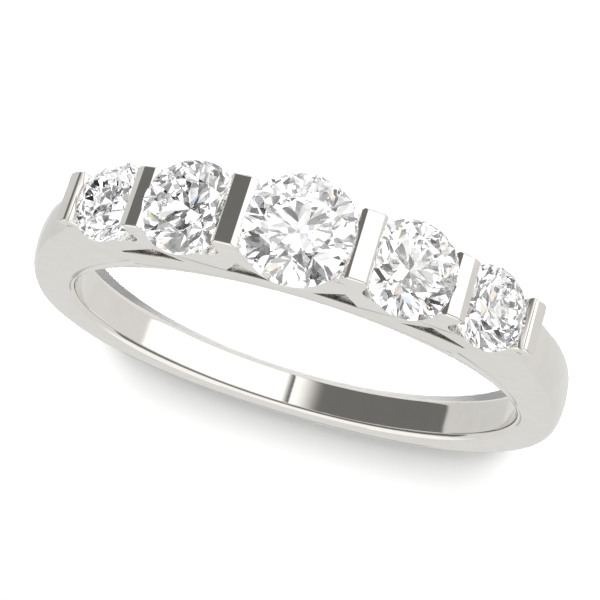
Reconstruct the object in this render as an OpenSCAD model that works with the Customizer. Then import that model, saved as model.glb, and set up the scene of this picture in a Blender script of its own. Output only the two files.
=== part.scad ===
// Bar set band: five graduated round stones held between six crosswise bars.
// The finger axis is Z and the ring lies on its side. The stones face -Y, and X runs across.
// The origin is the centre of the finger hole, half way through the band's width.
// A place on the ring is given by its angle from the middle stone and its distance from the
// origin, its radius. The ring is the same left and right, and the same on both sides.

/* [Finger hole] */
// Inside diameter of the ring
finger_d = 17.3; // [15.5:0.1:19.5]
// Rounding of the hole's two edges
comfort_r = 0.28; // [0.16:0.02:0.3]

/* [Shank] */
// Thickness of the shank at the back and the sides
shank_t = 1.6; // [1.3:0.05:2]
// Height of the shank's crown, from its soft edges to the middle of its outside
crown_h = 0.32; // [0.2:0.02:0.45]
// Half of the shank's width at the hole
half_width_hole = 0.84; // [0.78:0.01:0.88]
// Half of the shank's width outside, at the sides
half_width_outside = 0.94; // [0.9:0.01:1.05]
// Half of the shank's width outside, at the back
half_width_back = 0.84; // [0.78:0.01:1]
// Height of the shoulder above the hole, where it meets the end bar
shoulder_rise = 3.85; // [3.6:0.05:4.1]

/* [Bars] */
// Height of the two middle bars above the hole
bar_inner_rise = 4.84; // [4.7:0.02:5]
// Height of the next two bars above the hole
bar_outer_rise = 4.46; // [4.2:0.02:4.6]
// Height of the two end bars above the hole
bar_end_rise = 4.06; // [3.9:0.02:4.1]
// Width of a bar
bar_w = 0.88; // [0.8:0.02:1]
// Width of the sloping edge along each side of a bar's flat top
bar_edge = 0.17; // [0.1:0.01:0.22]
// How far the top of a bar's end is cut back
bar_end_cut = 0.05; // [0.04:0.01:0.16]

/* [Stones] */
// Diameter of the middle stone
stone_center_d = 3.66; // [3.5:0.02:3.8]
// Diameter of the two stones beside it
stone_inner_d = 3.18; // [3:0.02:3.3]
// Diameter of the two end stones
stone_outer_d = 2.78; // [2.6:0.02:2.9]
// Gap between a stone and its seat
seat_gap = 0.03; // [0.02:0.01:0.06]

/* [Gallery] */
// Thickness of the finger rail under the stones
rail_t = 1.05; // [0.9:0.05:1.15]
// Slope of the setting's sides: how far they lean out for each unit of rise
side_flare = 0.085; // [0.06:0.005:0.1]
// How far the setting's sides stand out from the rail and the shoulders
side_step = 0.02; // [0.01:0.005:0.04]
// Half of the width of the channel under the stones
channel_half = 0.4; // [0.3:0.02:0.45]

/* [Hidden] */
$fn = 96;

METAL = "gainsboro";
STONE = "lightcyan";

finger_r = finger_d / 2;

// Radius at a height above the hole
function rise(h) = finger_r + h;

// Stones: angle from the middle, radius of the girdle, diameter
STONE_ANGLE = 0;
STONE_GIRDLE = 1;
STONE_D = 2;
stone_center_at = [0, rise(4.38), stone_center_d];
stone_inner_at = [16.2, rise(4.13), stone_inner_d];
stone_outer_at = [30.4, rise(3.7), stone_outer_d];

// Bars: angle from the middle, radius of the flat top, radius of the foot
BAR_ANGLE = 0;
BAR_TOP = 1;
BAR_FOOT = 2;
bar_inner_at = [8.9, rise(bar_inner_rise), rise(2.6)];
bar_outer_at = [23.5, rise(bar_outer_rise), rise(2.5)];
bar_end_at = [37.8, rise(bar_end_rise), rise(3.1)];
end_bar_w = 0.72;
// Slope of a bar's top away from the middle stone: how far it reaches across the bar, and its drop
outer_slope = [0.32, 0.15];
end_slope = [0.46, 0.09];

// Round brilliant proportions, in stone diameters
table_share = 0.56;
crown_share = 0.155;
girdle_share = 0.03;
pavilion_share = 0.43;
// Where the star facets end: share of the way out from the table's corner, and up from the girdle
star_out = 0.55;
star_up = 0.56;
// How far the same place is pulled in, so that the long upper facets meet there
star_pull = 0.985;
// Where the lower halves end: share of the way down to the culet
lower_reach = 0.76;

// Gallery: a finger rail, with a setting plate above each of its sides
rail_r = rise(rail_t);
rail_inner_r = finger_r - 0.3;
// Top of the rail: angle from the middle, height over the rail's thickness there
RAIL_TOP = [[0, 0], [5, 0], [10, 0], [15, 0.02], [20, 0.09], [24, 0.19], [27, 0.26], [30, 0.32],
            [33, 0.38], [35.2, 0.44], [35.8, 0.9], [38.6, 1.25]];
scallop_depth = [1.62, 1.45, 1.2];
scallop_share = 0.37;
// Windows in the plates: angle and radius of the apex, then of the inner and the outer corner
window_inner = [[9.2, rise(2.52)], [3.6, rail_r], [13.4, rail_r]];
window_outer = [[25.8, rise(2.08)], [20.8, rise(1.1)], [35.2, rise(1.62)]];
// How far the plates' foot and the windows reach down into the rail
plate_sink = 0.05;
window_sink = 0.15;
// End of a plate, from the outer window's corner up to the end bar: angle, radius
PLATE_END = [[35.2, rise(1.62)], [36.4, rise(1.85)], [37.3, rise(2.1)], [38.1, rise(2.48)],
             [38.6, rise(2.86)], [39, rise(3.2)], [39.2, rise(3.5)]];
plate_crest = 0.55;
crest_steps = 20;

// Reach of the space that trims the plates and bars, and of shapes that other shapes trim
trim_top = rise(6);
far = 30;
spare = 4;

// Sections of the shank
shank_step = 4;
shoulder_start = 37.2;
shank_inner_r = finger_r - 0.5;
// Angles between which the shank widens behind the shoulders and narrows towards the back
widen_from = 42;
widen_to = 87;
narrow_from = 125;
// How much narrower the shank is at the hole's back than at its sides, on each side
hole_taper = 0.06;
// Roundness of the crown: 2 for an ellipse, more for a flatter top
crown_power = 2.3;
crown_steps = 14;
// Shank's outer radius from the end bar to the side: angle, share of the shoulder's rise
SHOULDER = [[37.2, 1], [45, 0.62], [55, 0.385], [68, 0.155], [80, 0.04], [92, 0]];

// Part of the rounding's radius that the side face cuts off the hole's straight wall
comfort_share = 0.9;

// Polar place on the ring, angle from -Y
function spot(angle, r) = [r * sin(angle), -r * cos(angle)];

function mix(a, b, t) = a + (b - a) * t;

// Smooth step from 0 to 1
function ease(t) = let (s = min(max(t, 0), 1)) s * s * (3 - 2 * s);

// Value of a table of pairs at x, on a smooth curve through its rows
function slope_at(rows, i) =
    i == 0 ? (rows[1][1] - rows[0][1]) / (rows[1][0] - rows[0][0])
    : i == len(rows) - 1 ? 0
    : (rows[i + 1][1] - rows[i - 1][1]) / (rows[i + 1][0] - rows[i - 1][0]);
function row_before(rows, x) = max([for (i = [0:len(rows) - 2]) if (i == 0 || rows[i][0] <= x) i]);
function curve(rows, x) =
    x <= rows[0][0] ? rows[0][1]
    : x >= rows[len(rows) - 1][0] ? rows[len(rows) - 1][1]
    : let (
        i = row_before(rows, x),
        step = rows[i + 1][0] - rows[i][0],
        t = (x - rows[i][0]) / step,
        a = rows[i][1],
        b = rows[i + 1][1],
        sa = slope_at(rows, i) * step,
        sb = slope_at(rows, i + 1) * step
    )
    a * (2 * t^3 - 3 * t^2 + 1) + sa * (t^3 - 2 * t^2 + t) + b * (3 * t^2 - 2 * t^3) + sb * (t^3 - t^2);

// Turns the child so that its +Y points away from the hole at this angle
module at_angle(angle) {
    rotate([0, 0, 180 + angle]) children();
}

// Both of a pair, left and right
module both_sides() {
    children();
    mirror([1, 0, 0]) children();
}

// Shank: a domed strip with flat sides, swept round the back from shoulder to shoulder.

function shank_outer(angle) = finger_r + shank_t + (shoulder_rise - shank_t) * curve(SHOULDER, angle);
function shank_half_outside(angle) =
    angle < 90
    ? mix(half_width_hole, half_width_outside, ease((angle - widen_from) / (widen_to - widen_from)))
    : mix(half_width_outside, half_width_back, ease((angle - narrow_from) / (180 - narrow_from)));
function shank_half_hole(angle) = half_width_hole - hole_taper * ease((angle - 90) / 90);

// Crown between the two sides: place across from -1 to 1, and the drop from its top
function crown_place(k) = -cos(180 * k / crown_steps);
function crown_drop(place) = crown_h * (1 - (1 - abs(place)^crown_power)^(1 / crown_power));

// One section, as [radius, height]
function shank_section(angle) =
    let (top = shank_outer(angle), out = shank_half_outside(angle), hole = shank_half_hole(angle))
    concat(
        [[shank_inner_r, hole]],
        [[shank_inner_r, -hole]],
        [for (k = [0:crown_steps]) let (s = crown_place(k)) [top - crown_drop(s), s * out]]
    );

module shank() {
    last = 360 - shoulder_start;
    steps = round((last - shoulder_start) / shank_step);
    angles = [for (k = [0:steps]) mix(shoulder_start, last, k / steps)];
    n = crown_steps + 3;
    points = [
        for (a = angles)
        let (folded = a > 180 ? 360 - a : a)
        for (s = shank_section(folded))
        [s[0] * sin(a), -s[0] * cos(a), s[1]]
    ];
    sides = [
        for (i = [0:steps - 1])
        for (j = [0:n - 1])
        let (a = i * n + j, b = i * n + (j + 1) % n)
        [a, b, b + n, a + n]
    ];
    ends = [[for (j = [n - 1:-1:0]) j], [for (j = [0:n - 1]) steps * n + j]];
    polyhedron(points = points, faces = concat(sides, ends), convexity = 8);
}

// Outline of the finger rail seen along the finger axis
module rail_outline() {
    last = len(RAIL_TOP) - 1;
    right = [for (row = RAIL_TOP) spot(row[0], rail_r + row[1])];
    left = [for (k = [last:-1:1]) spot(-RAIL_TOP[k][0], rail_r + RAIL_TOP[k][1])];
    inside = [for (k = [-last:last]) spot(sign(k) * RAIL_TOP[abs(k)][0], rail_inner_r)];
    polygon(concat(right, [for (k = [2 * last:-1:0]) inside[k]], left));
}

// Outline of a setting plate seen along the finger axis, without its openings
module plate_outline() {
    foot = [for (row = RAIL_TOP) if (row[0] < PLATE_END[0][0]) [row[0], rail_r + row[1] - plate_sink]];
    half = concat(foot, PLATE_END);
    right = [for (p = half) spot(p[0], p[1])];
    left = [for (k = [len(half) - 1:-1:1]) spot(-half[k][0], half[k][1])];
    tip = PLATE_END[len(PLATE_END) - 1];
    crest = [
        for (k = [1:crest_steps - 1])
        let (a = mix(tip[0], -tip[0], k / crest_steps))
        spot(a, tip[1] + plate_crest * cos(a * 90 / tip[0]))
    ];
    polygon(concat(right, crest, left));
}

// U-shaped hollow over which a stone sits
module scallop(stone, depth) {
    r = stone[STONE_D] * scallop_share;
    at_angle(stone[STONE_ANGLE]) {
        translate([0, stone[STONE_GIRDLE] - depth + r]) circle(r);
        translate([-r, stone[STONE_GIRDLE] - depth + r]) square([2 * r, spare]);
    }
}

module scallops() {
    scallop(stone_center_at, scallop_depth[0]);
    both_sides() scallop(stone_inner_at, scallop_depth[1]);
    both_sides() scallop(stone_outer_at, scallop_depth[2]);
}

// Tent-shaped window under a bar
module window(corners) {
    apex = corners[0];
    inner = corners[1];
    outer = corners[2];
    polygon([
        spot(apex[0], apex[1]), spot(inner[0], inner[1]), spot(inner[0], rail_r - window_sink),
        spot(outer[0], rail_r - window_sink), spot(outer[0], outer[1])
    ]);
}

module windows() {
    both_sides() window(window_inner);
    both_sides() window(window_outer);
}

// Half of the width between the outer faces of the two plates, at a height towards -Y
function plate_half(height) =
    half_width_hole + side_step + side_flare * max(0, height - rail_r);

// Space between the outer faces of the two plates
module side_planes() {
    foot = plate_half(0);
    top = plate_half(trim_top);
    rotate([0, 0, 180]) rotate([90, 0, 90])
        translate([0, 0, -far / 2]) linear_extrude(far)
            polygon([
                [0, foot], [rail_r, foot], [trim_top, top], [trim_top, -top], [rail_r, -foot], [0, -foot]
            ]);
}

// A bar across the band, with a flat top, sloping edges and cut back ends. Away from the middle stone
// the slope has a reach and a drop of its own.
module bar(at, width, slope) {
    top = at[BAR_TOP];
    foot = at[BAR_FOOT];
    half = width / 2;
    reach = plate_half(top * cos(at[BAR_ANGLE]));
    at_angle(at[BAR_ANGLE]) intersection() {
        translate([0, 0, -spare]) linear_extrude(2 * spare)
            polygon([
                [-half, foot], [half, foot], [half, top - bar_edge], [half - bar_edge, top],
                [slope[0] - half, top], [-half, top - slope[1]]
            ]);
        translate([-spare, 0, 0]) rotate([90, 0, 90]) linear_extrude(2 * spare)
            polygon([
                [0, -spare], [top - bar_end_cut, -reach], [top, bar_end_cut - reach],
                [top, reach - bar_end_cut], [top - bar_end_cut, reach], [0, spare]
            ]);
    }
}

module bars() {
    both_sides() bar(bar_inner_at, bar_w, [bar_edge, bar_edge]);
    both_sides() bar(bar_outer_at, bar_w, outer_slope);
    both_sides() bar(bar_end_at, end_bar_w, end_slope);
}

// Radius and height of the star facets' outer corners, in a stone of this diameter
function star_spot(d) =
    [mix(table_share, 1, star_out) * d / 2 / cos(22.5) * star_pull,
     girdle_share * d / 2 + star_up * crown_share * d];

// The same of the lower halves' inner corners
function lower_spot(d) =
    [(1 - lower_reach) * d / 2 / cos(22.5), -girdle_share * d / 2 - lower_reach * pavilion_share * d];

// Seat of a stone: its round outline, larger by the gap
module seat(stone) {
    d = stone[STONE_D];
    r = d / 2 + seat_gap;
    half_girdle = girdle_share * d / 2;
    star = star_spot(d);
    lower = lower_spot(d);
    top = half_girdle + crown_share * d + seat_gap;
    culet = half_girdle + pavilion_share * d + 2 * seat_gap;
    at_angle(stone[STONE_ANGLE]) translate([0, stone[STONE_GIRDLE], 0]) rotate([-90, 0, 0])
        rotate_extrude()
            polygon([
                [0, -culet], [lower[0] + seat_gap, lower[1]], [r, -half_girdle - seat_gap / 2],
                [r, half_girdle + seat_gap / 2], [star[0] + seat_gap, star[1]],
                [table_share * d / 2 + seat_gap, top], [0, top]
            ]);
}

module seats() {
    seat(stone_center_at);
    both_sides() seat(stone_inner_at);
    both_sides() seat(stone_outer_at);
}

// Finger hole with rounded edges
module finger_hole() {
    wall_half = half_width_hole - comfort_share * comfort_r;
    rotate_extrude($fn = 180) difference() {
        translate([0, -spare]) square([finger_r + comfort_r, 2 * spare]);
        translate([finger_r, -wall_half]) square([comfort_r, 2 * wall_half]);
        translate([finger_r + comfort_r, wall_half]) circle(comfort_r, $fn = 48);
        translate([finger_r + comfort_r, -wall_half]) circle(comfort_r, $fn = 48);
    }
}

module plates() {
    for (side = [0, 1]) mirror([0, 0, side])
        translate([0, 0, channel_half]) linear_extrude(spare) difference() {
            plate_outline();
            windows();
            scallops();
        }
}

module head() {
    translate([0, 0, -half_width_hole]) linear_extrude(2 * half_width_hole) rail_outline();
    intersection() {
        union() {
            plates();
            bars();
        }
        side_planes();
    }
}

module band() {
    color(METAL) difference() {
        union() {
            shank();
            head();
        }
        finger_hole();
        seats();
    }
}

// Round brilliant: rings of corners from the table down to the culet, +Z towards the table

function ring_of(count, r, z, turn) =
    [for (k = [0:count - 1]) let (a = 360 * (k + turn) / count) [r * cos(a), r * sin(a), z]];

module brilliant(d) {
    r = d / 2;
    half_girdle = girdle_share * r;
    table_r = table_share * r;
    table_z = half_girdle + crown_share * d;
    star = star_spot(d);
    lower = lower_spot(d);
    culet_z = -half_girdle - pavilion_share * d;
    points = concat(
        ring_of(8, table_r, table_z, 0),
        ring_of(8, star[0], star[1], 0.5),
        ring_of(16, r, half_girdle, 0),
        ring_of(16, r, -half_girdle, 0),
        ring_of(8, lower[0], lower[1], 0.5),
        [[0, 0, culet_z]]
    );
    table = [[for (k = [0:7]) k]];
    stars = [for (k = [0:7]) [k, 8 + k, (k + 1) % 8]];
    kites = [for (k = [0:7]) [k, 8 + (k + 7) % 8, 16 + 2 * k], for (k = [0:7]) [k, 16 + 2 * k, 8 + k]];
    upper = [
        for (k = [0:7]) [8 + k, 16 + 2 * k, 17 + 2 * k],
        for (k = [0:7]) [8 + k, 17 + 2 * k, 16 + (2 * k + 2) % 16]
    ];
    girdle = [
        for (k = [0:15]) [16 + k, 32 + k, 32 + (k + 1) % 16],
        for (k = [0:15]) [16 + k, 32 + (k + 1) % 16, 16 + (k + 1) % 16]
    ];
    halves = [
        for (k = [0:7]) [48 + k, 33 + 2 * k, 32 + 2 * k],
        for (k = [0:7]) [48 + k, 32 + (2 * k + 2) % 16, 33 + 2 * k]
    ];
    mains = [
        for (k = [0:7]) [48 + k, 32 + 2 * k, 48 + (k + 7) % 8],
        for (k = [0:7]) [56, 48 + k, 48 + (k + 7) % 8]
    ];
    polyhedron(points = points, faces = concat(table, stars, kites, upper, girdle, halves, mains));
}

module placed_stone(stone) {
    color(STONE) at_angle(stone[STONE_ANGLE]) translate([0, stone[STONE_GIRDLE], 0])
        rotate([-90, 0, 0]) brilliant(stone[STONE_D]);
}

module stone_center() {
    placed_stone(stone_center_at);
}

module stone_inner_left() {
    placed_stone(stone_inner_at);
}

module stone_inner_right() {
    mirror([1, 0, 0]) placed_stone(stone_inner_at);
}

module stone_outer_left() {
    placed_stone(stone_outer_at);
}

module stone_outer_right() {
    mirror([1, 0, 0]) placed_stone(stone_outer_at);
}

band();
stone_center();
stone_inner_left();
stone_inner_right();
stone_outer_left();
stone_outer_right();
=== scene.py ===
"""Bar set band: five graduated round brilliants between crosswise bars of polished white metal.

Shapes are worked out in millimetres, in the CAD frame: the finger axis is Z, the middle stone faces -Y.
A place on the ring is its angle from the middle stone, positive towards +X, and its radius from Z.
"""

import math

import bmesh
import bpy
from mathutils import Matrix, Vector
from mathutils.geometry import intersect_point_line

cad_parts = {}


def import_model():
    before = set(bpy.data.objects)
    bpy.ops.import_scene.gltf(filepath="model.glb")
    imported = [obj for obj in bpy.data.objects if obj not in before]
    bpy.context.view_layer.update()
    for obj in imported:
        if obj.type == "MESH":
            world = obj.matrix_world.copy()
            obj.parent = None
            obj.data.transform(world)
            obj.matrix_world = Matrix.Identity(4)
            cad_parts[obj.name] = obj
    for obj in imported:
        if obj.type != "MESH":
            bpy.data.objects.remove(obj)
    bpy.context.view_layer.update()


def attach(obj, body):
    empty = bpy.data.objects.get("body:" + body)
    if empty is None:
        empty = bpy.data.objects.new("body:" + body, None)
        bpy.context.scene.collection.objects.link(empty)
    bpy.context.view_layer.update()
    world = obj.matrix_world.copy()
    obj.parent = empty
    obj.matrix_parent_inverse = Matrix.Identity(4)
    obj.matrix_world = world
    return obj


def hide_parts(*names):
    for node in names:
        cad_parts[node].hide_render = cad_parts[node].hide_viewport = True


MM = 0.001

# Second material of the casting, and of a stone
SATIN = 1
GIRDLE = 1

# Angles of the ring's side and back
SIDE_ANGLE = 90
BACK_ANGLE = 180

# Finger hole, its rounded edges, and the share of their radius that the side faces cut off
HOLE_R = 8.65
COMFORT_R = 0.28
COMFORT_SHARE = 0.9
# Place of an extra point on the hole's straight wall, between its middle and its end
WALL_SHARE = 0.6
# The side faces' slant is measured from this far inside the hole
SLANT_FROM = 0.5

# Shank: thickness, height and roundness of its crown, and half of its width at the hole, outside at
# its sides and outside at its back
SHANK_T = 1.6
CROWN_H = 0.32
CROWN_POWER = 2.3
HALF_HOLE = 0.84
HALF_OUTSIDE = 0.94
HALF_BACK = 0.84
# How much narrower the hole's wall is at the back, on each side
HOLE_TAPER = 0.06
# Angles between which the shank widens behind the shoulders, and from which it narrows to the back
WIDEN_FROM = 42
WIDEN_TO = 87
NARROW_FROM = 125

# Shoulder: its height over the hole at the end bar, and by angle the share of that rise
SHOULDER_RISE = 3.85
SHOULDER_START = 37.2
SHOULDER = [(SHOULDER_START, 1), (45, 0.62), (55, 0.385), (68, 0.155), (80, 0.04), (92, 0)]

# Finger rail: thickness in the middle, and by angle how far its top rises over that. It steps up
# where the outer windows end
RAIL_T = 1.05
RAIL_R = HOLE_R + RAIL_T
STEP_FROM = 35.2
STEP_TO = 35.8
RAIL_TOP = [
    (0, 0), (5, 0), (10, 0), (15, 0.02), (20, 0.09), (24, 0.19), (27, 0.26), (30, 0.32),
    (33, 0.38), (STEP_FROM, 0.44), (STEP_TO, 0.9), (38.6, 1.25),
]
RAIL_CROWN = 0.03
# How far under its lowest top the rail's satin part reaches
SATIN_DEPTH = 0.1

# Setting plates: how far they stand out from the rail, their flare, and their soft edges
SIDE_STEP = 0.02
SIDE_FLARE = 0.085
CHANNEL_HALF = 0.4
PLATE_SINK = 0.05
PLATE_EDGE = 0.012
PLATE_CREST = 0.55
# Windows: angle and height over the hole of the apex, then of the inner and the outer corner
WINDOW_CORNER = (STEP_FROM, 1.62)
WINDOWS = [
    [(9.2, 2.52), (3.6, RAIL_T), (13.4, RAIL_T)],
    [(25.8, 2.08), (20.8, 1.1), WINDOW_CORNER],
]
# End of a plate, from the outer window's corner up to the end bar: angle, height over the hole
PLATE_END = [
    WINDOW_CORNER, (36.4, 1.85), (37.3, 2.1), (38.1, 2.48), (38.6, 2.86), (39, 3.2), (39.2, 3.5),
]

# Stones: node name, angle, girdle's height over the hole, diameter, depth of the hollow under it
STONES = [
    ("stone_center", 0, 4.38, 3.66, 1.62),
    ("stone_inner_left", 16.2, 4.13, 3.18, 1.45),
    ("stone_inner_right", -16.2, 4.13, 3.18, 1.45),
    ("stone_outer_left", 30.4, 3.7, 2.78, 1.2),
    ("stone_outer_right", -30.4, 3.7, 2.78, 1.2),
]
# Radius of a hollow, in stone diameters
SCALLOP_SHARE = 0.37
SEAT_GAP = 0.03
# How far from a seat's outline, and past a line's ends as a share of it, is still the seat
SEAT_NEAR = SEAT_GAP / 5
SEAT_PAST = 0.01

# Round brilliant, in stone diameters
TABLE_SHARE = 0.56
CROWN_SHARE = 0.155
GIRDLE_SHARE = 0.03
PAVILION_SHARE = 0.43
# Where the star facets end: share of the way out from the table's corner and up from the girdle, and
# how far the place is pulled in, so that the long upper facets meet there
STAR_OUT = 0.55
STAR_UP = 0.56
STAR_PULL = 0.985
# Where the lower halves end: share of the way down to the culet
LOWER_REACH = 0.76
# Half of the angle that one of the eight main facets takes up
HALF_MAIN = math.pi / 8

# Bars: angle, height of the top and of the foot over the hole, width, reach and drop of the outer slope
BAR_EDGE = 0.17
BARS = [
    (8.9, 4.84, 2.6, 0.88, BAR_EDGE, BAR_EDGE),
    (23.5, 4.46, 2.5, 0.88, 0.32, 0.15),
    (37.8, 4.06, 3.1, 0.72, 0.46, 0.09),
]
# How far a bar's end is cut back at the top, stands in from the plate, and is cut at its corners
BAR_END_CUT = 0.05
BAR_END_SINK = 0.004
BAR_CORNER = 0.07
BAR_SOFT = 0.04
# Size of the block that a bar is cut from
BAR_BLOCK = 40

# A face belongs to the rail's top, a plate's narrow sides or a stone's girdle if its normal has less
# of Z than this, and to a bar's foot if its normal has more of -Y, before the piece is put in place
RAIL_TILT = 0.5
PLATE_TILT = 0.3
GIRDLE_TILT = 0.02
FOOT_FACING = 0.9

# Fineness of the meshes: steps along the ring, round a section, and round a hollow, seat or stone, and
# of the search for the place where the hole's rounded edge meets the side face
SHANK_STEPS = 96
RAIL_STEPS = 31
COMFORT_STEPS = 10
FLANK_STEPS = 4
CROWN_STEPS = 16
HOLLOW_STEPS = 24
SEAT_STEPS = 96
GIRDLE_SIDES = 64
HALVINGS = 30
# Degrees from one point of a plate's crest to the next, and from the rail's end to the shoulder
CREST_STEP = 2
RAIL_END = 0.01
# Points of a plate's outline, a bar and a cut block that are nearer than this are one
OUTLINE_STEP = 0.03
WELD = 0.002
SAME_POINT = 1e-5
ON_PLANE = 1e-6
# Edges of the casting are drawn sharp from this angle on
SHARP_ANGLE = 34

# Camera, from the photograph: place in mm, and the picture's right, down and forward directions
CAMERA_AT = (-4.2031, -58.0517, 14.8202)
VIEW_RIGHT = (-0.95924, -0.00373, -0.28257)
VIEW_DOWN = (-0.27216, 0.28134, 0.92021)
VIEW_FORWARD = (0.07606, 0.9596, -0.27088)
SENSOR = 36.0
LENS = 94.3


def mix(a, b, t):
    """The value at a share t of the way from a to b."""
    return a + (b - a) * t


def ease(t):
    """Smooth step from 0 to 1."""
    s = min(max(t, 0), 1)
    return s * s * (3 - 2 * s)


def spot(angle, r):
    """Place on the ring in the XY plane."""
    a = math.radians(angle)
    return r * math.sin(a), -r * math.cos(a)


def straight(rows, x):
    """Value of a table of pairs at x, on straight lines between its rows."""
    for (x0, y0), (x1, y1) in zip(rows, rows[1:]):
        if x <= x1:
            return mix(y0, y1, (x - x0) / (x1 - x0))
    return rows[-1][1]


def curve(rows, x):
    """The same on a smooth curve."""
    if x <= rows[0][0]:
        return rows[0][1]
    if x >= rows[-1][0]:
        return rows[-1][1]
    i = max(k for k in range(len(rows) - 1) if rows[k][0] <= x)

    def slope(k):
        if k == len(rows) - 1:
            return 0
        lo, hi = max(k - 1, 0), k + 1
        return (rows[hi][1] - rows[lo][1]) / (rows[hi][0] - rows[lo][0])

    step = rows[i + 1][0] - rows[i][0]
    t = (x - rows[i][0]) / step
    a, b = rows[i][1], rows[i + 1][1]
    return (
        a * (2 * t**3 - 3 * t**2 + 1) + slope(i) * step * (t**3 - 2 * t**2 + t)
        + b * (3 * t**2 - 2 * t**3) + slope(i + 1) * step * (t**3 - t**2)
    )


# Meshes

def mesh_object(name, bm):
    """A scene object of a mesh."""
    mesh = bpy.data.meshes.new(name)
    bm.to_mesh(mesh)
    bm.free()
    obj = bpy.data.objects.new(name, mesh)
    bpy.context.scene.collection.objects.link(obj)
    return obj


def join(name, meshes):
    """One scene object of several meshes."""
    whole = bmesh.new()
    for bm in meshes:
        part = bpy.data.meshes.new("part")
        bm.to_mesh(part)
        bm.free()
        whole.from_mesh(part)
        bpy.data.meshes.remove(part)
    return mesh_object(name, whole)


def evaluated(obj):
    """The mesh that a scene object gives with its modifiers. The object is removed."""
    bpy.context.view_layer.update()
    shape = bpy.data.meshes.new_from_object(obj.evaluated_get(bpy.context.evaluated_depsgraph_get()))
    bpy.data.objects.remove(obj)
    bm = bmesh.new()
    bm.from_mesh(shape)
    bpy.data.meshes.remove(shape)
    return bm


def convex(bm, planes):
    """Cuts a closed convex mesh by planes, each a point and the outward direction of what goes."""
    for point, outward in planes:
        geometry = bm.verts[:] + bm.edges[:] + bm.faces[:]
        cut = bmesh.ops.bisect_plane(
            bm, geom=geometry, dist=ON_PLANE, plane_co=point, plane_no=outward, clear_outer=True
        )
        rim = [e for e in cut["geom_cut"] if isinstance(e, bmesh.types.BMEdge)]
        if len(rim) > 2:
            bmesh.ops.contextual_create(bm, geom=rim)
    bmesh.ops.remove_doubles(bm, verts=bm.verts[:], dist=SAME_POINT)
    bmesh.ops.recalc_face_normals(bm, faces=bm.faces[:])
    return bm


def mirrored(bm, axis):
    """The same piece on the ring's other side along an axis."""
    bm.transform(Matrix.Scale(-1, 4, axis))
    bmesh.ops.recalc_face_normals(bm, faces=bm.faces[:])
    return bm


def leave_satin(bm, where):
    """Gives the faces where this holds, at their centre and normal, the finish that no buff reaches."""
    for face in bm.faces:
        if where(face.calc_center_median(), face.normal):
            face.material_index = SATIN


# Shank and finger rail

def shoulder_outer(angle):
    """Outer radius of the shank and its shoulders."""
    return HOLE_R + SHANK_T + (SHOULDER_RISE - SHANK_T) * curve(SHOULDER, angle)


def half_outside(angle):
    """Half of the shank's width outside."""
    if angle < SIDE_ANGLE:
        return mix(HALF_HOLE, HALF_OUTSIDE, ease((angle - WIDEN_FROM) / (WIDEN_TO - WIDEN_FROM)))
    return mix(HALF_OUTSIDE, HALF_BACK, ease((angle - NARROW_FROM) / (BACK_ANGLE - NARROW_FROM)))


def half_hole(angle):
    """Half of the width at the hole, before its edges are rounded."""
    share = ease((angle - SIDE_ANGLE) / (BACK_ANGLE - SIDE_ANGLE))
    return mix(HALF_HOLE, HALF_HOLE - HOLE_TAPER, share)


def band_section(angle, rail):
    """Half of the band's section at an angle from 0 to 180: (radius, height) from the bore's middle
    over the near side to the middle of the outside."""
    wall = HALF_HOLE - COMFORT_SHARE * COMFORT_R
    hole = half_hole(angle)
    if rail:
        top, out, crown = RAIL_R + straight(RAIL_TOP, angle), HALF_HOLE, RAIL_CROWN
    else:
        top, out, crown = shoulder_outer(angle), half_outside(angle), CROWN_H
    side_in, side_out = HOLE_R - SLANT_FROM, top - crown
    slant = (out - hole) / (side_out - side_in)

    def side(r):
        return hole + slant * (r - side_in)

    def rounding(turn):
        return HOLE_R + COMFORT_R * (1 - math.cos(turn)), wall + COMFORT_R * math.sin(turn)

    low, high = 0.0, math.pi / 2
    for _ in range(HALVINGS):
        mid = (low + high) / 2
        r, height = rounding(mid)
        if height < side(r):
            low = mid
        else:
            high = mid
    points = [(HOLE_R, 0.0), (HOLE_R, wall * WALL_SHARE)]
    points += [rounding(low * k / COMFORT_STEPS) for k in range(COMFORT_STEPS + 1)]
    edge = points[-1][0]
    for k in range(1, FLANK_STEPS):
        r = mix(edge, side_out, k / FLANK_STEPS)
        points.append((r, side(r)))
    for k in range(CROWN_STEPS + 1):
        across = math.cos(math.pi / 2 * k / CROWN_STEPS)
        drop = crown * (1 - (1 - across**CROWN_POWER) ** (1 / CROWN_POWER))
        points.append((top - drop, across * out))
    return points


def on_rail_top(at):
    """Whether a place on the band is on the finger rail, near its top."""
    angle = math.degrees(math.atan2(abs(at.x), -at.y))
    return angle < STEP_FROM and math.hypot(at.x, at.y) > RAIL_R - SATIN_DEPTH


def ring_band():
    """Shank and finger rail as one closed tube round the finger hole."""
    shank = [
        SHOULDER_START + k * (BACK_ANGLE - SHOULDER_START) / SHANK_STEPS for k in range(SHANK_STEPS + 1)
    ]
    rail = [k * SHOULDER_START / RAIL_STEPS for k in range(RAIL_STEPS)]
    rail += [STEP_FROM, STEP_TO, SHOULDER_START - RAIL_END]
    stations = [(a, True) for a in sorted(rail)] + [(a, False) for a in shank]
    stations += [(-a, is_rail) for a, is_rail in reversed(stations[1:-1])]
    bm = bmesh.new()
    loops = []
    for angle, is_rail in stations:
        half = band_section(abs(angle), is_rail)
        section = half + [(r, -z) for r, z in reversed(half[1:-1])]
        loops.append([bm.verts.new((*spot(angle, r), z)) for r, z in section])
    for a, b in zip(loops, loops[1:] + loops[:1]):
        for k in range(len(a)):
            j = (k + 1) % len(a)
            bm.faces.new((a[k], a[j], b[j], b[k]))
    bmesh.ops.recalc_face_normals(bm, faces=bm.faces[:])
    leave_satin(bm, lambda at, normal: on_rail_top(at) and abs(normal.z) < RAIL_TILT)
    return bm


# Setting plates

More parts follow.
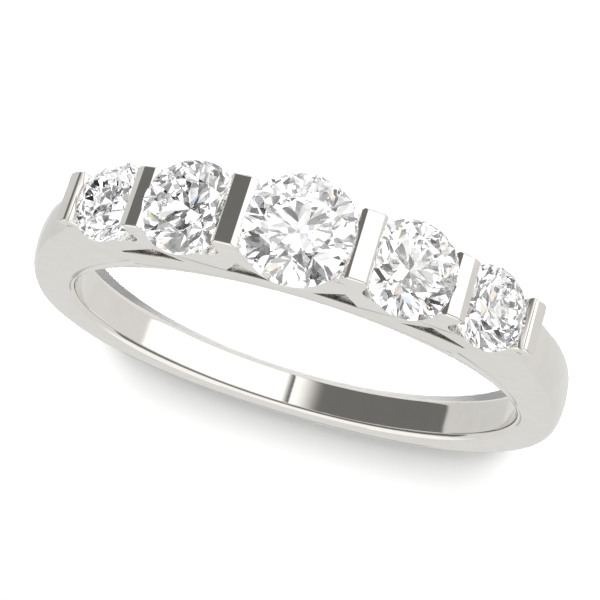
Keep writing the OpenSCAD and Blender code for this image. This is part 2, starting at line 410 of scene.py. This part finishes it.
def plate_half(height):
    """Outer face of a plate over the mid plane, at a height towards -Y."""
    return HALF_HOLE + SIDE_STEP + SIDE_FLARE * max(0, height - RAIL_R)


def crest_r(angle):
    """Radius of a plate's crest, without the hollows."""
    tip_angle, tip_rise = PLATE_END[-1]
    return HOLE_R + tip_rise + PLATE_CREST * math.cos(math.radians(angle * 90 / tip_angle))


def foot_r(angle):
    """Radius of a plate's foot, which stands in the rail."""
    return RAIL_R + straight(RAIL_TOP, angle) - PLATE_SINK


def plate_foot():
    """Half of a plate's outline, from the foot's middle round the windows to its end: (angle, radius)."""
    half = [(0, foot_r(0))]
    for (apex, top), (inner, inner_rise), (outer, outer_rise) in WINDOWS:
        half += [(a, foot_r(a)) for a, _ in RAIL_TOP if half[-1][0] < a < inner]
        half += [(inner, foot_r(inner)), (inner, HOLE_R + inner_rise), (apex, HOLE_R + top)]
        half += [(outer, HOLE_R + outer_rise)]
        if outer < STEP_FROM:
            half += [(outer, foot_r(outer))]
    return half + [(a, HOLE_R + rise) for a, rise in PLATE_END[1:]]


def crest(start, end):
    """Places on a plate's crest on the way from one angle down to another."""
    places = []
    at = start - CREST_STEP
    while at > end:
        places.append(spot(at, crest_r(at)))
        at -= CREST_STEP
    return places


def hollow(angle, rise, d, depth):
    """Places round the hollow under a stone, and half of the angle of its mouth."""
    r = SCALLOP_SHARE * d
    centre = HOLE_R + rise - depth + r
    out = Vector(spot(angle, 1))
    along = Vector((-out.y, out.x))
    mouth = math.degrees(math.asin(r / crest_r(angle)))
    places = [out * math.sqrt(crest_r(angle + mouth) ** 2 - r**2) + along * r]
    for k in range(HOLLOW_STEPS + 1):
        t = math.pi * k / HOLLOW_STEPS
        places.append(out * (centre - r * math.sin(t)) + along * r * math.cos(t))
    places.append(out * math.sqrt(crest_r(angle - mouth) ** 2 - r**2) - along * r)
    return places, mouth


def plate_outline():
    """Outline of a plate in the XY plane, from the middle of its foot towards +X and round."""
    half = plate_foot()
    outline = [spot(a, r) for a, r in half]
    end = PLATE_END[-1][0]
    last = end
    for _, angle, rise, d, depth in sorted(STONES, key=lambda row: row[1], reverse=True):
        places, mouth = hollow(angle, rise, d, depth)
        outline += crest(last, angle + mouth) + places
        last = angle - mouth
    outline += crest(last, -end)
    outline += [spot(-a, r) for a, r in reversed(half[1:])]
    return spaced([Vector(place) for place in outline])


def spaced(outline):
    """Leaves out points so close to the last one that the soft edge would cross itself there."""
    kept = outline[:1]
    for point in outline[1:]:
        if (point - kept[-1]).length > OUTLINE_STEP:
            kept.append(point)
    return kept


def flat_plate():
    """A plate with flat sides at -1 and 1 and softened edges."""
    data = bpy.data.curves.new("plate_outline", "CURVE")
    data.dimensions = "2D"
    data.fill_mode = "BOTH"
    data.extrude = 1.0 - PLATE_EDGE
    data.bevel_depth = PLATE_EDGE
    data.bevel_resolution = 2
    data.offset = -PLATE_EDGE
    outline = plate_outline()
    spline = data.splines.new("POLY")
    spline.points.add(len(outline) - 1)
    for point, (x, y) in zip(spline.points, outline):
        point.co = (x, y, 0, 1)
    spline.use_cyclic_u = True
    flat = bpy.data.objects.new("plate_outline", data)
    bpy.context.scene.collection.objects.link(flat)
    return evaluated(flat)


def plate():
    """The setting plate on the +Z side, with the channel's wall, the flare and softened edges."""
    bm = flat_plate()
    bmesh.ops.remove_doubles(bm, verts=bm.verts[:], dist=SAME_POINT)
    # The flare starts at this height, so the faces are divided there
    bmesh.ops.bisect_plane(
        bm, geom=bm.verts[:] + bm.edges[:] + bm.faces[:], plane_co=(0, -RAIL_R, 0), plane_no=(0, 1, 0)
    )
    # The soft edges keep their size, and what is between them is stretched to the plate's thickness
    for v in bm.verts:
        outer = plate_half(-v.co.y)
        share = (v.co.z + 1) / 2
        edge = min(share, 1 - share) * 2
        if edge < PLATE_EDGE:
            v.co.z = CHANNEL_HALF + edge if share < 0.5 else outer - edge
        else:
            v.co.z = mix(CHANNEL_HALF, outer, share)
    bmesh.ops.recalc_face_normals(bm, faces=bm.faces[:])
    wall = CHANNEL_HALF + PLATE_EDGE
    leave_satin(bm, lambda at, normal: abs(normal.z) < PLATE_TILT or abs(at.z) < wall)
    return bm


# Bars and seats

def bar(angle, rise, foot, width, outer_edge, outer_drop):
    """A crosswise bar with a flat top, sloping edges and cut back ends that follow the plates."""
    top, low, half = HOLE_R + rise, HOLE_R + foot, width / 2
    a = math.radians(angle)
    reach = plate_half(top * math.cos(a)) - BAR_END_SINK
    bm = bmesh.new()
    bmesh.ops.create_cube(bm, size=BAR_BLOCK)
    planes = [
        ((0, top, 0), (0, 1, 0)),
        ((0, low, 0), (0, -1, 0)),
        ((half, 0, 0), (1, 0, 0)),
        ((-half, 0, 0), (-1, 0, 0)),
        ((half - outer_edge, top, 0), (outer_drop, outer_edge, 0)),
        ((BAR_EDGE - half, top, 0), (-1, 1, 0)),
    ]
    for s in (1, -1):
        planes += [
            ((0, top, s * (reach - BAR_END_CUT)), (0, 1, s)),
            ((half - BAR_CORNER, top, s * reach), (1, 0, s)),
            ((BAR_CORNER - half, top, s * reach), (-1, 0, s)),
            ((0, top, s * reach), (math.sin(a) * SIDE_FLARE, -math.cos(a) * SIDE_FLARE, s)),
        ]
    convex(bm, planes)
    leave_satin(bm, lambda at, normal: normal.y < -FOOT_FACING)
    bmesh.ops.bevel(
        bm, geom=bm.edges[:], offset=BAR_SOFT, segments=3, profile=0.5, affect="EDGES", clamp_overlap=True
    )
    bmesh.ops.remove_doubles(bm, verts=bm.verts[:], dist=WELD)
    out = Vector((math.sin(a), -math.cos(a), 0))
    along = Vector((math.cos(a), math.sin(a), 0))
    place = Matrix((along, out, Vector((0, 0, 1)))).transposed().to_4x4()
    bm.transform(place)
    bmesh.ops.recalc_face_normals(bm, faces=bm.faces[:])
    return bm


def stone_place(angle, rise):
    """Turns +Z, the way the table faces, outward at this angle, and puts the girdle in its place."""
    out = Vector((*spot(angle, 1), 0))
    along = Vector((-out.y, out.x, 0))
    across = out.cross(along)
    turn = Matrix((along, across, out)).transposed().to_4x4()
    return Matrix.Translation(out * (HOLE_R + rise)) @ turn


def star_spot(d):
    """Radius and height at which the star, bezel and upper facets meet."""
    r = mix(TABLE_SHARE, 1, STAR_OUT) * d / 2 / math.cos(HALF_MAIN) * STAR_PULL
    return r, GIRDLE_SHARE * d / 2 + STAR_UP * CROWN_SHARE * d


def lower_spot(d):
    """Radius and height at which the lower halves end."""
    r = (1 - LOWER_REACH) * d / 2 / math.cos(HALF_MAIN)
    return r, -GIRDLE_SHARE * d / 2 - LOWER_REACH * PAVILION_SHARE * d


def seat_profile(d):
    """Radius and height of a seat's outline, from the culet up."""
    half_girdle = GIRDLE_SHARE * d / 2
    star, lower = star_spot(d), lower_spot(d)
    return [
        (0, -half_girdle - PAVILION_SHARE * d - 2 * SEAT_GAP),
        (lower[0] + SEAT_GAP, lower[1]),
        (d / 2 + SEAT_GAP, -half_girdle - SEAT_GAP / 2),
        (d / 2 + SEAT_GAP, half_girdle + SEAT_GAP / 2),
        (star[0] + SEAT_GAP, star[1]),
        (TABLE_SHARE * d / 2 + SEAT_GAP, half_girdle + CROWN_SHARE * d + SEAT_GAP),
        (0, half_girdle + CROWN_SHARE * d + SEAT_GAP),
    ]


def on_a_seat(at):
    """Whether a place on the setting is on the wall of a seat."""
    for _, angle, rise, d, _ in STONES:
        inside = stone_place(angle, rise).inverted() @ at
        here = Vector((math.hypot(inside.x, inside.y), inside.z))
        profile = seat_profile(d)
        for a, b in zip(profile, profile[1:]):
            near, share = intersect_point_line(here, a, b)
            if -SEAT_PAST < share < 1 + SEAT_PAST and (near.xy - here).length < SEAT_NEAR:
                return True
    return False


def seat(angle, rise, d):
    """Cutter of a stone's seat: the stone's round outline and the gap."""
    profile = seat_profile(d)
    bm = bmesh.new()
    tips = [bm.verts.new((0, 0, profile[0][1])), bm.verts.new((0, 0, profile[-1][1]))]
    turns = [2 * math.pi * (k + 0.5) / SEAT_STEPS for k in range(SEAT_STEPS)]
    rings = []
    for r, z in profile[1:-1]:
        rings.append([bm.verts.new((r * math.cos(t), r * math.sin(t), z)) for t in turns])
    for k in range(SEAT_STEPS):
        j = (k + 1) % SEAT_STEPS
        bm.faces.new((tips[0], rings[0][j], rings[0][k]))
        bm.faces.new((tips[1], rings[-1][k], rings[-1][j]))
        for a, b in zip(rings, rings[1:]):
            bm.faces.new((a[k], a[j], b[j], b[k]))
    bmesh.ops.recalc_face_normals(bm, faces=bm.faces[:])
    bm.transform(stone_place(angle, rise))
    return bm


def cut_seats(piece, cutter):
    """Cuts the stones' seats out of a piece of the setting."""
    obj = mesh_object("setting", piece)
    cut = obj.modifiers.new("seats", "BOOLEAN")
    cut.operation = "DIFFERENCE"
    cut.solver = "EXACT"
    cut.object = cutter
    bm = evaluated(obj)
    leave_satin(bm, lambda at, normal: on_a_seat(at))
    return bm


def cast_band():
    """The whole casting: shank, rail, plates and bars, with the seats cut."""
    cutter = join("seat_cutter", [seat(angle, rise, d) for _, angle, rise, d, _ in STONES])
    pieces = [plate()] + [bar(*row) for row in BARS] + [mirrored(bar(*row), (1, 0, 0)) for row in BARS]
    setting = [cut_seats(piece, cutter) for piece in pieces]
    setting.append(mirrored(setting[0].copy(), (0, 0, 1)))
    bpy.data.objects.remove(cutter)
    band = join("cast_band", [ring_band()] + setting)
    for face in band.data.polygons:
        face.use_smooth = True
    band.data.transform(Matrix.Scale(MM, 4))
    band.data.set_sharp_from_angle(angle=math.radians(SHARP_ANGLE))
    flat = band.modifiers.new("even_faces", "WEIGHTED_NORMAL")
    flat.keep_sharp = True
    flat.weight = 100
    return band


# Stones

def prism(sides, r, half):
    """A many-sided rod along Z, from -half to half."""
    bm = bmesh.new()
    bmesh.ops.create_cone(
        bm, cap_ends=True, segments=sides, radius1=r, radius2=r, depth=2 * half,
        matrix=Matrix.Rotation(math.pi / sides, 4, "Z"),
    )
    return bm


def brilliant(d):
    """Round brilliant with its 57 facets cut into a round stone, table towards +Z."""
    r, half_girdle = d / 2, GIRDLE_SHARE * d / 2
    table_r, table_z = TABLE_SHARE * r, half_girdle + CROWN_SHARE * d
    star, lower = star_spot(d), lower_spot(d)
    culet = Vector((0, 0, -half_girdle - PAVILION_SHARE * d))

    def at(turn, radius, z):
        """A place at a direction counted in halves of a main facet, of which 16 go round the stone."""
        a = HALF_MAIN * turn
        return Vector((radius * math.cos(a), radius * math.sin(a), z))

    def facet(p, q, s):
        """The plane through three places, facing away from the middle of the stone."""
        outward = (q - p).cross(s - p).normalized()
        if outward.dot(p - Vector((0, 0, -half_girdle))) < 0:
            outward.negate()
        return p, outward

    planes = [(Vector((0, 0, table_z)), Vector((0, 0, 1)))]
    for k in range(0, 16, 2):
        rim, corner = at(k, r, half_girdle), at(k, table_r, table_z)
        across = at(k + 4, 1, 0)
        planes.append(facet(rim, corner, rim + across))
        planes.append(facet(corner, at(k + 2, table_r, table_z), at(k + 1, *star)))
        under = at(k, r, -half_girdle)
        planes.append(facet(under, culet, under + across))
        for s in (1, -1):
            planes.append(facet(rim, at(k + s, r, half_girdle), at(k + s, *star)))
            planes.append(facet(under, at(k + s, r, -half_girdle), at(k + s, *lower)))
    return convex(prism(GIRDLE_SIDES, r, d), planes)


def cut_stone(name, angle, rise, d):
    """A stone in its place on the ring."""
    bm = brilliant(d)
    for face in bm.faces:
        face.material_index = GIRDLE if abs(face.normal.z) < GIRDLE_TILT else 0
    bm.transform(stone_place(angle, rise))
    bm.transform(Matrix.Scale(MM, 4))
    return mesh_object(name + "_cut", bm)


# Materials

GOLD_DARK = (0.80, 0.785, 0.75)
GOLD_LIGHT = (0.835, 0.82, 0.79)
GOLD_SATIN = (0.82, 0.81, 0.79)
STONE_TINT = (0.985, 0.99, 1.0)
GIRDLE_TINT = (0.97, 0.975, 0.985)
STONE_IOR = 2.42
FLOOR_DARK = (0.335, 0.335, 0.333)
FLOOR_LIGHT = (0.35, 0.35, 0.348)

# Painted glow inside a stone, standing in for light that is not traced: after how many reflections a
# facet glows white by itself, how finely the glow's brightness changes with the way the facet faces, and
# its range, which gives no glow below 0
GLOW_AFTER_BOUNCES = 3.5
GLOW_PATTERN_SCALE = 6.0
PAINTED_GLOW_LOW = -4.5
PAINTED_GLOW_HIGH = 5.3


def new_material(name):
    """A new material, its nodes and its shader."""
    material = bpy.data.materials.new(name)
    material.use_nodes = True
    return material, material.node_tree, material.node_tree.nodes["Principled BSDF"]


def in_mm(tree):
    """Place on the object in millimetres."""
    place = tree.nodes.new("ShaderNodeTexCoord")
    scale = tree.nodes.new("ShaderNodeVectorMath")
    scale.operation = "SCALE"
    scale.inputs["Scale"].default_value = 1 / MM
    tree.links.new(place.outputs["Object"], scale.inputs[0])
    return scale.outputs[0]


def calculate(tree, operation, *values):
    """Result of a math node that is fed with numbers and sockets."""
    node = tree.nodes.new("ShaderNodeMath")
    node.operation = operation
    for socket, value in zip(node.inputs, values):
        if isinstance(value, (int, float)):
            socket.default_value = value
        else:
            tree.links.new(value, socket)
    return node.outputs[0]


def spread(tree, value, low, high):
    """Maps 0..1 to low..high."""
    node = tree.nodes.new("ShaderNodeMapRange")
    node.inputs["To Min"].default_value = low
    node.inputs["To Max"].default_value = high
    tree.links.new(value, node.inputs["Value"])
    return node.outputs["Result"]


def noise(tree, place, scale, detail=3.0):
    """Cloudy pattern between 0 and 1."""
    node = tree.nodes.new("ShaderNodeTexNoise")
    node.inputs["Scale"].default_value = scale
    node.inputs["Detail"].default_value = detail
    tree.links.new(place, node.inputs["Vector"])
    return node.outputs["Fac"]


def tint(tree, value, first, second, low=0.0, high=1.0):
    """Colour that goes from the first to the second as the value goes from low to high."""
    node = tree.nodes.new("ShaderNodeValToRGB")
    for element, position, colour in zip(node.color_ramp.elements, (low, high), (first, second)):
        element.position = position
        element.color = (*colour, 1)
    tree.links.new(value, node.inputs["Fac"])
    return node.outputs["Color"]


def polished_metal():
    """White gold with a bright polish: faint haze, buffing lines round the band, hairline scratches."""
    material, tree, shader = new_material("polished_white_gold")
    shader.inputs["Metallic"].default_value = 1.0
    place = in_mm(tree)
    haze = noise(tree, place, scale=1.4)
    gold = tint(tree, haze, GOLD_DARK, GOLD_LIGHT, low=0.3, high=0.7)
    tree.links.new(gold, shader.inputs["Base Color"])

    # The buffing lines and scratches run round the band, so their pattern is fine along Z
    stretch = tree.nodes.new("ShaderNodeVectorMath")
    stretch.operation = "MULTIPLY"
    stretch.inputs[1].default_value = (1.0, 1.0, 26.0)
    tree.links.new(place, stretch.inputs[0])
    buffing = noise(tree, stretch.outputs[0], scale=1.6, detail=6.0)
    tree.links.new(spread(tree, buffing, low=0.03, high=0.085), shader.inputs["Roughness"])

    scratches = tree.nodes.new("ShaderNodeTexVoronoi")
    scratches.feature = "DISTANCE_TO_EDGE"
    scratches.inputs["Scale"].default_value = 0.9
    tree.links.new(stretch.outputs[0], scratches.inputs["Vector"])
    bump = tree.nodes.new("ShaderNodeBump")
    bump.inputs["Strength"].default_value = 0.02
    bump.inputs["Distance"].default_value = 0.00001
    depth = spread(tree, scratches.outputs["Distance"], low=0.0, high=1.0)
    tree.links.new(depth, bump.inputs["Height"])
    tree.links.new(bump.outputs["Normal"], shader.inputs["Normal"])
    return material


def satin_metal():
    """The same metal with a duller polish, in the channel and the seats, where no buff reaches."""
    material, tree, shader = new_material("satin_white_gold")
    shader.inputs["Metallic"].default_value = 1.0
    shader.inputs["Base Color"].default_value = (*GOLD_SATIN, 1)
    grain = noise(tree, in_mm(tree), scale=12.0, detail=6.0)
    tree.links.new(spread(tree, grain, low=0.1, high=0.24), shader.inputs["Roughness"])
    return material


def painted_facet_glow(tree, shader):
    """Painted glow: after many reflections in a stone, each facet glows white by itself, with a
    brightness of its own that follows the way it faces.
    """
    path = tree.nodes.new("ShaderNodeLightPath")
    deep = calculate(tree, "GREATER_THAN", path.outputs["Glossy Depth"], GLOW_AFTER_BOUNCES)
    facet = tree.nodes.new("ShaderNodeNewGeometry")
    level = noise(tree, facet.outputs["True Normal"], scale=GLOW_PATTERN_SCALE, detail=1.0)
    level = calculate(tree, "MAXIMUM", spread(tree, level, PAINTED_GLOW_LOW, PAINTED_GLOW_HIGH), 0.0)
    # Painted light: white emission on facets reached after many reflections, its strength set by the
    # facet's normal
    tree.links.new(calculate(tree, "MULTIPLY", deep, level), shader.inputs["Emission Strength"])
    shader.inputs["Emission Color"].default_value = (1.0, 1.0, 1.0, 1)


def clear_stone():
    """Colourless stone: polished facets with the faintest polish lines, and a painted white glow on
    facets deep inside.
    """
    material, tree, shader = new_material("colourless_stone")
    shader.inputs["Transmission Weight"].default_value = 1.0
    shader.inputs["IOR"].default_value = STONE_IOR
    shader.inputs["Base Color"].default_value = (*STONE_TINT, 1)
    lines = noise(tree, in_mm(tree), scale=9.0, detail=5.0)
    tree.links.new(spread(tree, lines, low=0.0, high=0.0015), shader.inputs["Roughness"])
    # Painted glow: facets deep inside the stone shine white by themselves
    painted_facet_glow(tree, shader)
    return material


def ground_girdle():
    """The girdle's finely ground rim."""
    material, tree, shader = new_material("ground_girdle")
    shader.inputs["Transmission Weight"].default_value = 1.0
    shader.inputs["IOR"].default_value = STONE_IOR
    shader.inputs["Base Color"].default_value = (*GIRDLE_TINT, 1)
    grain = noise(tree, in_mm(tree), scale=30.0, detail=6.0)
    tree.links.new(spread(tree, grain, low=0.25, high=0.45), shader.inputs["Roughness"])
    return material


def floor_surface():
    """Smooth pale board with a trace of mottling."""
    material, tree, shader = new_material("pale_floor")
    shader.inputs["Specular IOR Level"].default_value = 0.0
    shader.inputs["Roughness"].default_value = 1.0
    mottling = noise(tree, in_mm(tree), scale=0.05)
    tree.links.new(tint(tree, mottling, FLOOR_DARK, FLOOR_LIGHT), shader.inputs["Base Color"])
    return material


# Studio

# Cards round the ring: from and to azimuth, from and to elevation, softness, brightness or colour.
# Azimuth 0 is -Y and grows towards +X. A later card covers an earlier one.
STUDIO = 0.8
STUDIO_CARDS = [
    (-181, 181, 38, 91, 14, 1.15),
    (-181, 181, -91, -30, 12, 0.9),
    (170, 181, 9.5, 12.6, 0.8, 0.48),
    (-181, -178.5, 9.5, 12.6, 0.8, 0.48),
    (-112, 112, 6, 30, 5, 0.16),
    (90, 150, -46, 3, 3, 0.72),
    (-30, 93, -46, 3, 3, 0.18),
    (-60, 9, -46, 3, 18, 1.4),
    (-30, 0.4, -46, 3, 0.6, 0.1),
    (-90, -2.4, -46, 3, 4.6, 1.4),
]
STUDIO_TINT = (1.0, 0.99, 0.975)
BRIGHTEST = 1.6

# The same as the stones gather it: a bright room with dark flags and gleams of colour at their rims
GLITTER = 1.5
GLITTER_CARDS = [
    (-28, -18, -90, 90, 1, 0.2),
    (50, 58, -90, 90, 1, 0.05),
    (-64, -54, -90, 90, 1, 0.3),
    (100, 112, -90, 90, 1, 0.05),
    (-112, -100, -90, 90, 1, 0.05),
    (150, 165, -90, 90, 1, 0.1),
    (-175, -160, -90, 90, 1, 0.1),
    (-15, -3, -30, 30, 1, 0.72),
    (9, 18, -30, 30, 1, 0.8),
    (30, 40, -60, 60, 1, 0.04),
    (66, 82, -40, 70, 1, 0.06),
    (-42, -32, -70, 40, 1, 0.04),
    (-84, -68, -30, 80, 1, 0.06),
    (-24, 24, 38, 47, 1, 0.04),
    (-24, 24, -52, -43, 1, 0.04),
    (120, 140, -40, 40, 1, 0.1),
    (-150, -130, -40, 40, 1, 0.1),
    (40, 43, -60, 60, 0.6, (0.55, 0.66, 0.95)),
    (-45, -42, -70, 40, 0.6, (0.95, 0.82, 0.68)),
    (82, 85, -40, 70, 0.6, (0.95, 0.74, 0.82)),
    (-87, -84, -30, 80, 0.6, (0.68, 0.66, 0.95)),
    (-24, 24, 47, 49, 0.6, (0.95, 0.88, 0.5)),
    (-34, -30, -70, 70, 1, 0.05),
    (-20, -15, -70, 70, 1, 0.3),
    (-8, -5, -70, 70, 1, 0.05),
    (2, 5, -70, 70, 1, 0.05),
    (14, 18, -70, 70, 1, 0.1),
    (24, 27, -70, 70, 1, 0.1),
    (-40, 40, 28, 32, 1, 0.1),
    (-40, 40, -34, -30, 1, 0.1),
]

# Half of the floor's width, the steps of its mesh, and its distance under the ring
FLOOR_HALF = 420.0
FLOOR_STEPS = 24
FLOOR_GAP = 0.002


def between(tree, value, low, high, soft):
    """1 between low and high, 0 outside, with soft edges."""
    centre, half = (low + high) / 2, (high - low) / 2
    off = calculate(tree, "ABSOLUTE", calculate(tree, "SUBTRACT", value, centre))
    edge = tree.nodes.new("ShaderNodeMapRange")
    edge.interpolation_type = "SMOOTHSTEP"
    edge.inputs["From Min"].default_value = half - soft / 2
    edge.inputs["From Max"].default_value = half + soft / 2
    edge.inputs["To Min"].default_value = 1.0
    edge.inputs["To Max"].default_value = 0.0
    tree.links.new(off, edge.inputs["Value"])
    return edge.outputs["Result"]


def shade(level):
    """Colour of a brightness or of a colour, as a share of the brightest one."""
    colour = level if isinstance(level, tuple) else tuple(level * channel for channel in STUDIO_TINT)
    return tuple(channel / BRIGHTEST for channel in colour)


def blend(tree, share, first, second):
    """The first colour where the share is 0, the second where it is 1."""
    node = tree.nodes.new("ShaderNodeMix")
    node.data_type = "RGBA"
    tree.links.new(share, node.inputs["Factor"])
    # The node's colours are its inputs 6 and 7 and its output 2
    for socket, colour in zip((node.inputs[6], node.inputs[7]), (first, second)):
        if isinstance(colour, tuple):
            socket.default_value = (*colour, 1)
        else:
            tree.links.new(colour, socket)
    return node.outputs[2]


def lit_by(tree, azimuth, elevation, room, cards):
    """Colour of a room with cards, seen in a direction."""
    colour = shade(room)
    for az_low, az_high, el_low, el_high, soft, card in cards:
        inside = between(tree, elevation, el_low, el_high, soft)
        if az_high - az_low < 360:
            inside = calculate(tree, "MULTIPLY", inside, between(tree, azimuth, az_low, az_high, soft))
        colour = blend(tree, inside, colour, shade(card))
    return colour


def studio():
    """White room with bright and dark cards. Rays out of a stone see a brighter room than the metal."""
    world = bpy.data.worlds.new("studio")
    world.use_nodes = True
    bpy.context.scene.world = world
    tree = world.node_tree
    way = tree.nodes.new("ShaderNodeTexCoord")
    axes = tree.nodes.new("ShaderNodeSeparateXYZ")
    tree.links.new(way.outputs["Generated"], axes.inputs[0])
    x, y, z = axes.outputs
    front = calculate(tree, "MULTIPLY", y, -1.0)
    azimuth = calculate(tree, "DEGREES", calculate(tree, "ARCTAN2", x, front))
    elevation = calculate(tree, "DEGREES", calculate(tree, "ARCSINE", z))
    metal_room = lit_by(tree, azimuth, elevation, STUDIO, STUDIO_CARDS)
    stone_room = lit_by(tree, azimuth, elevation, GLITTER, GLITTER_CARDS)
    path = tree.nodes.new("ShaderNodeLightPath")
    room = blend(tree, path.outputs["Is Transmission Ray"], metal_room, stone_room)
    background = tree.nodes["Background"]
    background.inputs["Strength"].default_value = BRIGHTEST
    tree.links.new(room, background.inputs["Color"])


def floor():
    """The floor lies on the ring's own resting plane: the middle stone's edge and the shank's back."""
    front_y, front_z = -(HOLE_R + STONES[0][2]), -STONES[0][3] / 2
    back_y, back_z = HOLE_R + SHANK_T - CROWN_H, -HALF_BACK
    slope = (back_z - front_z) / (back_y - front_y)
    bm = bmesh.new()
    bmesh.ops.create_grid(bm, x_segments=FLOOR_STEPS, y_segments=FLOOR_STEPS, size=FLOOR_HALF)
    for v in bm.verts:
        v.co.z = front_z + slope * (v.co.y - front_y) - FLOOR_GAP
    bm.transform(Matrix.Scale(MM, 4))
    obj = mesh_object("floor", bm)
    obj.data.materials.append(floor_surface())
    obj.visible_glossy = False
    obj.visible_transmission = False


def area_light(name, at, size, power):
    """A round lamp: place and size in metres."""
    data = bpy.data.lights.new(name, "AREA")
    data.shape = "DISK"
    data.size = size
    data.energy = power
    aim(name, data, at)


def spot_light(name, at, cone, size, power):
    """A lamp with a narrow cone, given in degrees."""
    data = bpy.data.lights.new(name, "SPOT")
    data.spot_size = math.radians(cone)
    data.spot_blend = 0.2
    data.shadow_soft_size = size
    data.energy = power
    aim(name, data, at)


def aim(name, data, at):
    """Points a light at the ring. It lights the floor only: the metal and the stones have the studio."""
    obj = bpy.data.objects.new(name, data)
    bpy.context.scene.collection.objects.link(obj)
    obj.location = Vector(at)
    obj.rotation_mode = "QUATERNION"
    obj.rotation_quaternion = (-Vector(at)).to_track_quat("-Z", "Y")
    obj.visible_glossy = False
    obj.visible_transmission = False


def camera():
    """The photograph's camera."""
    data = bpy.data.cameras.new("camera")
    data.sensor_width = SENSOR
    data.lens = LENS
    data.clip_start, data.clip_end = 0.005, 5.0
    obj = bpy.data.objects.new("camera", data)
    bpy.context.scene.collection.objects.link(obj)
    axes = (Vector(VIEW_RIGHT), -Vector(VIEW_DOWN), -Vector(VIEW_FORWARD))
    turn = Matrix(axes).transposed().to_4x4()
    obj.matrix_world = Matrix.Translation(Vector(CAMERA_AT) * MM) @ turn
    bpy.context.scene.camera = obj


def main():
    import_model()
    camera()
    studio()
    floor()
    area_light("front", at=(0.0, -1.5, 0.125), size=0.34, power=500.0)
    spot_light("in_the_hole", at=(0.0, -0.03, 0.35), cone=3.4, size=0.012, power=27.0)
    bpy.context.scene.view_settings.view_transform = "Standard"

    stone, girdle = clear_stone(), ground_girdle()
    band = cast_band()
    band.data.materials.append(polished_metal())
    band.data.materials.append(satin_metal())
    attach(band, "root")
    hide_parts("band")
    band.visible_transmission = False
    band.visible_diffuse = False
    for name, angle, rise, d, _ in STONES:
        piece = cut_stone(name, angle, rise, d)
        piece.data.materials.append(stone)
        piece.data.materials.append(girdle)
        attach(piece, "root")
        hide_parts(name)


main()
